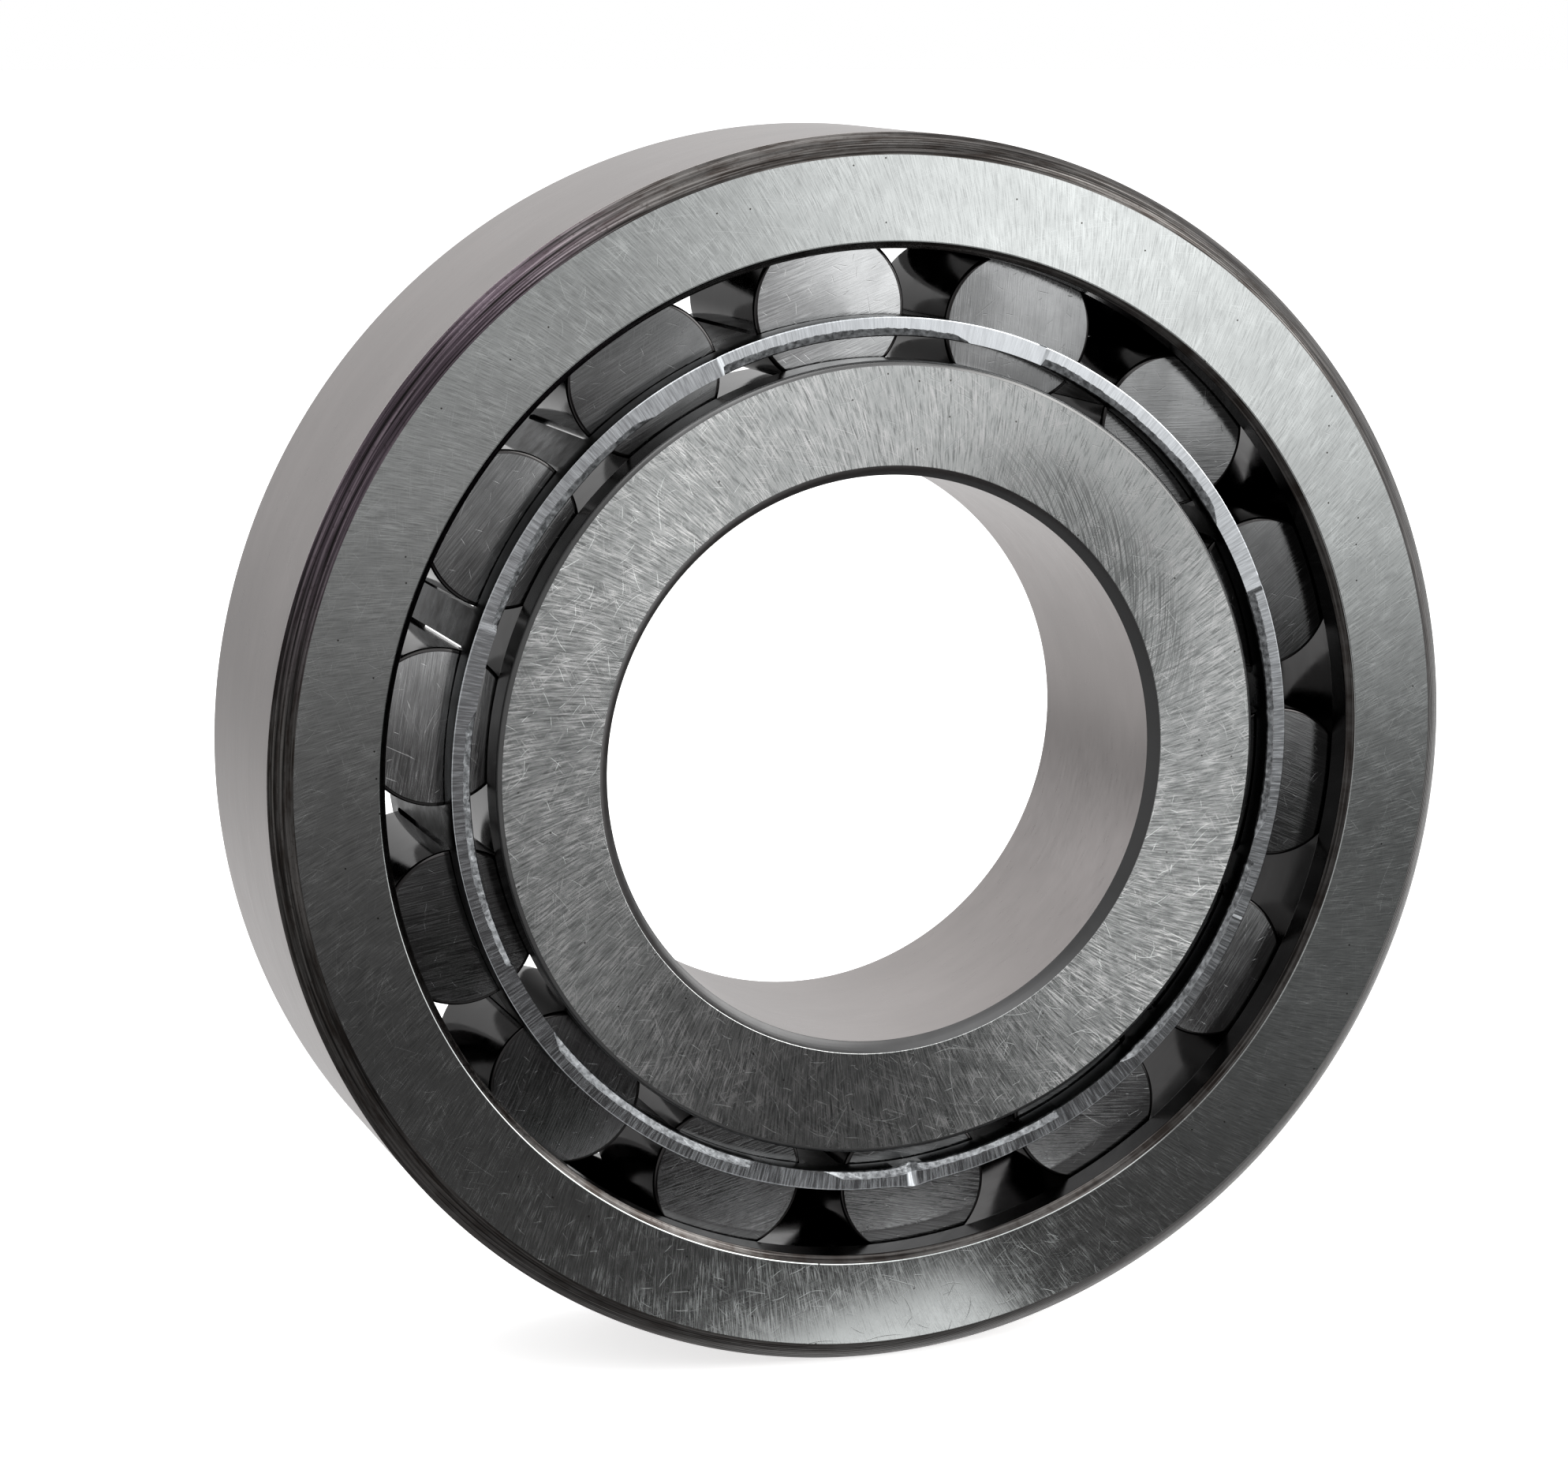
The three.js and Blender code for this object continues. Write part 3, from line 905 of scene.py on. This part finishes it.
class BEARING_OT_cage(bpy.types.Operator):
    """Press the cage from one strip, punch its windows and weld its seam"""

    bl_idname = "bearing.cage"
    bl_label = "Build Cage"

    punch_step: bpy.props.FloatProperty(
        name="Punch Step", description="Angle between the marks that the shearing tool left",
        default=math.radians(46.1), subtype="ANGLE")
    first_mark: bpy.props.FloatProperty(
        name="First Mark", description="Angle of the first mark on the sheared edge",
        default=math.radians(20.6), subtype="ANGLE")

    def torn_share(self, angle):
        """Share of the strip's thickness that tore instead of shearing cleanly."""
        since = (angle - self.first_mark) % self.punch_step
        ramp = (since - math.radians(11)) / math.radians(2.5)
        ragged = gentle_waves(angle, 5, (31, 67, 113, 181, 290, 433))
        share = 0.36 + 0.1 * gentle_waves(angle, 9, (5, 9, 14)) + 0.07 * ragged
        return 0.02 + max(0.0, share) * min(max(ramp, 0.0), 1.0)

    def edge_profile(self, angle, settings):
        """The strip's edge at an angle, outside to inside: radius, and depth below the end face."""
        ease = 0.12 * MM
        from_seam = angle_between(angle, settings.seam_angle)
        pinch = 0.34 * MM * math.exp(-((from_seam / math.radians(1.9)) ** 2))
        groove = 0.4 * MM * math.exp(-((from_seam / math.radians(0.6)) ** 2))
        inside = CAGE_RADIUS - settings.thickness
        rim_out = CAGE_RADIUS + 0.035 * MM * gentle_waves(angle, 3, (3, 7, 12, 19)) + pinch
        rim_in = inside + 0.035 * MM * gentle_waves(angle, 4, (4, 6, 13, 23)) - pinch
        past_mark = angle_between(angle, self.first_mark) % self.punch_step
        rise = 0.035 * MM * math.exp(-past_mark / math.radians(3))
        torn = self.torn_share(angle)
        slope = 0.2 * MM + 0.09 * MM * gentle_waves(angle, 6, (47, 91, 153, 277, 391))
        fall = slope * min(1.0, torn / 0.2)
        boundary = rim_in + (rim_out - rim_in) * torn
        profile = [(rim_out, ease), (rim_out - 0.35 * ease, 0.35 * ease)]
        for share in SMOOTH_SHARES:
            reach = rim_out - ease + (boundary - rim_out + ease) * share
            profile.append((reach, groove * share - rise))
        for share in TORN_SHARES:
            reach = boundary + (rim_in + 0.4 * ease - boundary) * share
            profile.append((reach, fall * share + groove))
        profile.append((rim_in, fall + 1.3 * ease + groove))
        return profile

    def strip_columns(self, window):
        """Angles of the columns of points round the strip, and which of them start in a window."""
        pitch = 2 * math.pi / len(ROLLERS)
        angles, in_window = [], []
        for index in range(len(ROLLERS)):
            middle = FIRST_ROLLER_ANGLE + index * pitch
            for step in range(WINDOW_COLUMNS):
                angles.append(middle - window + 2 * window * step / WINDOW_COLUMNS)
                in_window.append(True)
            for step in range(BAR_COLUMNS):
                angles.append(middle + window + (pitch - 2 * window) * step / BAR_COLUMNS)
                in_window.append(False)
        return angles, in_window

    def execute(self, context):
        settings = context.scene.bearing_cage
        colour = tuple(context.scene.bearing_finish.cage_colour)
        inside = CAGE_RADIUS - settings.thickness
        end = settings.window_half_length
        side_rows = [-end, -0.5 * end, 0.0, 0.5 * end, end]
        angles, in_window = self.strip_columns(settings.window_half_angle)
        vertices, columns = [], []
        for angle in angles:
            profile = self.edge_profile(angle, settings)
            line = [(radius, depth - CAGE_HALF_LENGTH) for radius, depth in profile]
            line += [(inside, along) for along in side_rows]
            line += [(radius, CAGE_HALF_LENGTH - depth) for radius, depth in reversed(profile)]
            line += [(CAGE_RADIUS, along) for along in reversed(side_rows)]
            columns.append(range(len(vertices), len(vertices) + len(line)))
            cosine, sine = math.cos(angle), math.sin(angle)
            vertices += [(radius * cosine, along, radius * sine) for radius, along in line]
        rows = len(columns[0])
        inner_start = EDGE_ROWS
        inner_end = inner_start + len(side_rows) - 1
        outer_start = 2 * EDGE_ROWS + len(side_rows)
        outer_end = outer_start + len(side_rows) - 1
        self.round_windows(vertices, columns, angles, in_window, (inner_start, inner_end), inside)
        self.round_windows(vertices, columns, angles, in_window, (outer_end, outer_start), CAGE_RADIUS)
        burnished, torn, pressed = 0, 1, 2

        def open_row(row):
            return inner_start <= row < inner_end or outer_start <= row < outer_end

        def slot_of(row):
            local = row if row < EDGE_ROWS - 1 else outer_start - 2 - row
            if 0 <= local < SMOOTH_ROWS:
                return burnished
            return torn if SMOOTH_ROWS <= local < EDGE_ROWS - 1 else pressed

        faces, slots, walls = [], [], []
        for i, here in enumerate(columns):
            there = columns[(i + 1) % len(columns)]
            for row in range(rows):
                if in_window[i] and open_row(row):
                    continue
                after = (row + 1) % rows
                faces.append((here[row], here[after], there[after], there[row]))
                slots.append(slot_of(row))
            if in_window[i]:
                walls.append((here[inner_start], here[outer_end], there[outer_end], there[inner_start]))
                walls.append((there[inner_end], there[outer_start], here[outer_start], here[inner_end]))
            if in_window[i] != in_window[i - 1]:
                for step in range(len(side_rows) - 1):
                    near, far = inner_start + step, outer_end - step
                    wall = (here[near], here[near + 1], here[far - 1], here[far])
                    walls.append(wall if in_window[i] else wall[::-1])
        faces += walls
        # Window walls take the pressed side's near-black steel, painted shade inside the windows.
        slots += [pressed] * len(walls)
        materials = [
            burnished_edge_finish("Cage Sheared Edge", colour),
            torn_edge_finish("Cage Torn Edge", colour),
            shaded_pressed_side_finish("Cage Pressed Side Shaded", colour),
        ]
        piece = finished_mesh("cage_steel_strip", vertices, faces, slots, materials)
        piece.data.set_sharp_from_angle(angle=math.radians(38))
        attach(piece, "cage")
        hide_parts("cage")
        return {"FINISHED"}

    def round_windows(self, vertices, columns, angles, in_window, ends, radius):
        """Draws both ends of each window in at their corners, to a small radius."""
        corner = 0.9 * MM
        starts = [i for i in range(len(columns)) if in_window[i] and not in_window[i - 1]]
        for start in starts:
            spacing = radius * abs(angles[start + 1] - angles[start])
            for step in range(WINDOW_COLUMNS + 1):
                column = columns[(start + step) % len(columns)]
                reach = min(step, WINDOW_COLUMNS - step) * spacing
                if reach >= corner:
                    continue
                pull = corner - math.sqrt(max(0.0, corner**2 - (corner - reach) ** 2))
                for row, way in zip(ends, (1, -1)):
                    x, y, z = vertices[column[row]]
                    vertices[column[row]] = (x, y + way * pull, z)


# ------------------------------------------------------------------ stage

# The camera's place, the way it looks, and its lens and sensor in millimetres.
CAMERA_PLACE = (-0.14765, -0.4141, 0.0809)
CAMERA_WAY = (0.3183, 0.9305, -0.1812)
CAMERA_LENS = 95.41
CAMERA_SENSOR = 36

# Each lamp's name, place, size, power in watts and colour. They all point at the bearing.
LAMPS = [
    ("Key Softbox", (1.02, -0.62, 0.72), (1.3, 1.0), 13.0, (1.0, 0.99, 0.97)),
    ("Overhead Softbox", (-0.1, 0.1, 1.2), (1.4, 1.1), 6.0, (1.0, 1.0, 1.0)),
    ("Rear Fill", (-0.9, 0.8, 0.5), (0.9, 0.9), 3.5, (0.97, 0.98, 1.0)),
]

# Brightness of the room in front, at shares of the way from the lower height to the upper one,
# which are in degrees.
ROOM_HEIGHTS = (-20.0, 10.0)
ROOM_SHADES = [(0.0, 0.055), (0.2, 0.055), (0.3, 0.11), (0.43, 0.28), (0.55, 0.42), (1.0, 0.3)]


class BEARING_OT_stage(bpy.types.Operator):
    """Set the camera, the pale floor and the soft studio light round the bearing"""

    bl_idname = "bearing.stage"
    bl_label = "Build Stage"

    def execute(self, context):
        scene = context.scene
        self.place_camera(scene)
        self.lay_floor()
        self.hang_lamps()
        self.light_room(scene)
        scene.view_settings.view_transform = "Standard"
        return {"FINISHED"}

    def place_camera(self, scene):
        data = bpy.data.cameras.new("Studio Camera")
        data.lens = CAMERA_LENS
        data.sensor_width = CAMERA_SENSOR
        data.clip_start = 0.01
        camera = bpy.data.objects.new("Studio Camera", data)
        forward = Vector(CAMERA_WAY).normalized()
        right = forward.cross(Vector((0, 0, 1))).normalized()
        up = right.cross(forward)
        turn = Matrix((right, up, -forward)).transposed().to_4x4()
        camera.matrix_world = Matrix.Translation(CAMERA_PLACE) @ turn
        scene.collection.objects.link(camera)
        scene.camera = camera

    def lay_floor(self):
        """A flat round sheet that the bearing stands on, pale and faintly glowing."""
        radii = (0.2, 0.6, 1.6, 6.0)
        steps = 48
        vertices, faces = [(0.0, 0.0, OUTER_LOW.z)], []
        for radius in radii:
            for step in range(steps):
                angle = 2 * math.pi * step / steps
                vertices.append((radius * math.cos(angle), radius * math.sin(angle), OUTER_LOW.z))
        for step in range(steps):
            following = (step + 1) % steps
            faces.append((0, 1 + step, 1 + following))
            for ring in range(len(radii) - 1):
                inner = 1 + ring * steps
                outer = inner + steps
                faces.append((inner + step, outer + step, outer + following, inner + following))
        material = bpy.data.materials.new("Pale Floor")
        material.use_nodes = True
        tree = material.node_tree
        tree.nodes.clear()
        paper = add_node(tree, "ShaderNodeBsdfDiffuse", {"Color": (0.9, 0.9, 0.9, 1.0)})
        glow = add_node(tree, "ShaderNodeEmission", {"Color": (1.0, 1.0, 1.0, 1.0), "Strength": 0.62})
        both = add_node(tree, "ShaderNodeAddShader", {0: paper.outputs[0], 1: glow.outputs[0]})
        output = add_node(tree, "ShaderNodeOutputMaterial")
        tree.links.new(both.outputs[0], output.inputs[0])
        floor = finished_mesh("Pale Floor", vertices, faces, [0] * len(faces), [material])
        floor.visible_glossy = False

    def hang_lamps(self):
        for name, place, size, power, colour in LAMPS:
            data = bpy.data.lights.new(name, "AREA")
            data.shape = "RECTANGLE"
            data.size, data.size_y = size
            data.energy = power
            data.color = colour
            lamp = bpy.data.objects.new(name, data)
            lamp.location = place
            lamp.rotation_euler = (-Vector(place)).to_track_quat("-Z", "Y").to_euler()
            lamp.visible_camera = False
            bpy.context.scene.collection.objects.link(lamp)

    def light_room(self, scene):
        """White to look at; what the steel reflects is a studio with bright and dark sides."""
        world = bpy.data.worlds.new("Studio Room")
        scene.world = world
        world.use_nodes = True
        tree = world.node_tree
        tree.nodes.clear()
        way = add_node(tree, "ShaderNodeTexCoord").outputs["Generated"]
        x, y, z = add_node(tree, "ShaderNodeSeparateXYZ", {0: way}).outputs
        height = maths(tree, "DEGREES", maths(tree, "ARCSINE", z))
        side = maths(tree, "DEGREES", maths(tree, "ARCTAN2", x, maths(tree, "MULTIPLY", y, -1.0)))
        room = self.front_room(tree, side, height)
        backdrop = self.backdrop(tree, x, z, height)
        behind = smooth_step(tree, y, 0.05, 0.3)
        room = blend_colour(tree, behind, room, combine(tree, backdrop, backdrop, backdrop))
        seen = add_node(tree, "ShaderNodeBackground", {"Color": (1.0, 1.0, 1.0, 1.0), "Strength": 1.0})
        mirrored = add_node(tree, "ShaderNodeBackground", {"Color": room, "Strength": 1.0})
        rays = add_node(tree, "ShaderNodeLightPath")
        both = add_node(
            tree, "ShaderNodeMixShader",
            {0: rays.outputs["Is Camera Ray"], 1: mirrored.outputs[0], 2: seen.outputs[0]})
        output = add_node(tree, "ShaderNodeOutputWorld")
        tree.links.new(both.outputs[0], output.inputs[0])

    def front_room(self, tree, side, height):
        """A dim room, darkest low down, with its bright parts; side and height are in degrees."""
        ramp = add_node(tree, "ShaderNodeValToRGB", {0: spread(tree, height, 0.0, 1.0, *ROOM_HEIGHTS)})
        stops = ramp.color_ramp.elements
        while len(stops) < len(ROOM_SHADES):
            stops.new(0.5)
        for stop, (place, shade) in zip(stops, ROOM_SHADES):
            cool = shade * (0.98 + shade * 0.1)
            stop.position = place
            stop.color = (shade * 1.03, cool, cool, 1.0)
        room = ramp.outputs[0]

        def both(first, second):
            return maths(tree, "MULTIPLY", first, second)

        def lit(share, shade):
            return blend_colour(tree, share, room, (shade, shade, shade, 1.0))

        # Dark apron on the right, and the bright source over it.
        apron = both(smooth_step(tree, side, 20.0, 28.0), smooth_step(tree, height, -19.0, -12.5))
        room = lit(apron, 0.12)
        slant = maths(tree, "ADD", side, maths(tree, "MAXIMUM", height, 0.0))
        source = both(smooth_step(tree, slant, 16.0, 22.0), smooth_step(tree, height, -11.8, -2.4))
        room = lit(source, 1.22)
        # Wall card on the left.
        across = both(smooth_step(tree, side, -103.0, -87.0), smooth_step(tree, side, -22.0, -38.0))
        upward = both(smooth_step(tree, height, -38.0, -22.0), smooth_step(tree, height, 58.0, 42.0))
        room = lit(both(across, upward), 0.5)
        # White wedge low in front, with a bent upper edge; then the table and the ceiling.
        past = maths(tree, "SUBTRACT", side, 21.5)
        left_slope = maths(tree, "MULTIPLY", past, -0.32)
        slope = maths(tree, "MAXIMUM", left_slope, maths(tree, "MULTIPLY", past, 0.8))
        edge = smooth_step(tree, maths(tree, "ADD", height, slope), -17.6, -17.95)
        room = lit(both(edge, smooth_step(tree, height, -22.5, -20.5)), 1.0)
        room = lit(smooth_step(tree, height, -24.0, -34.0), 0.36)
        return lit(smooth_step(tree, height, 40.0, 60.0), 1.0)

    def backdrop(self, tree, x, z, height):
        """Brightness behind the bearing: dimmer towards its lower left, with a pale table below."""
        rightward = maths(tree, "MULTIPLY_ADD", x, 0.45, 0.54)
        upward = maths(tree, "MULTIPLY_ADD", z, 0.45, rightward)
        return maths(tree, "ADD", upward, smooth_step(tree, height, -4.0, -18.0, 0.0, 0.4))


# ------------------------------------------------------------------ panel


OPERATORS = (
    BEARING_OT_outer_ring, BEARING_OT_inner_ring, BEARING_OT_cage, BEARING_OT_rollers, BEARING_OT_stage)
SETTINGS = {
    "bearing_ring": BearingRingSettings,
    "bearing_roller": BearingRollerSettings,
    "bearing_cage": BearingCageSettings,
    "bearing_finish": BearingFinishSettings,
}


class BEARING_PT_panel(bpy.types.Panel):
    """Sizes, colours and build steps of the bearing"""

    bl_idname = "BEARING_PT_panel"
    bl_label = "Roller Bearing"
    bl_space_type = "VIEW_3D"
    bl_region_type = "UI"
    bl_category = "Bearing"

    def draw(self, context):
        for name, settings in SETTINGS.items():
            box = self.layout.box()
            box.label(text=name.replace("bearing_", "").title())
            for key in settings.__annotations__:
                box.prop(getattr(context.scene, name), key)
        for operator in OPERATORS:
            self.layout.operator(operator.bl_idname)


CLASSES = (*SETTINGS.values(), *OPERATORS, BEARING_PT_panel)


def register():
    for cls in CLASSES:
        bpy.utils.register_class(cls)
    for name, settings in SETTINGS.items():
        setattr(bpy.types.Scene, name, bpy.props.PointerProperty(type=settings))


def unregister():
    for name in SETTINGS:
        delattr(bpy.types.Scene, name)
    for cls in reversed(CLASSES):
        bpy.utils.unregister_class(cls)


def main():
    register()
    bpy.ops.bearing.stage()
    bpy.ops.bearing.outer_ring()
    bpy.ops.bearing.inner_ring()
    bpy.ops.bearing.cage()
    bpy.ops.bearing.rollers()


if __name__ == "__main__":
    main()
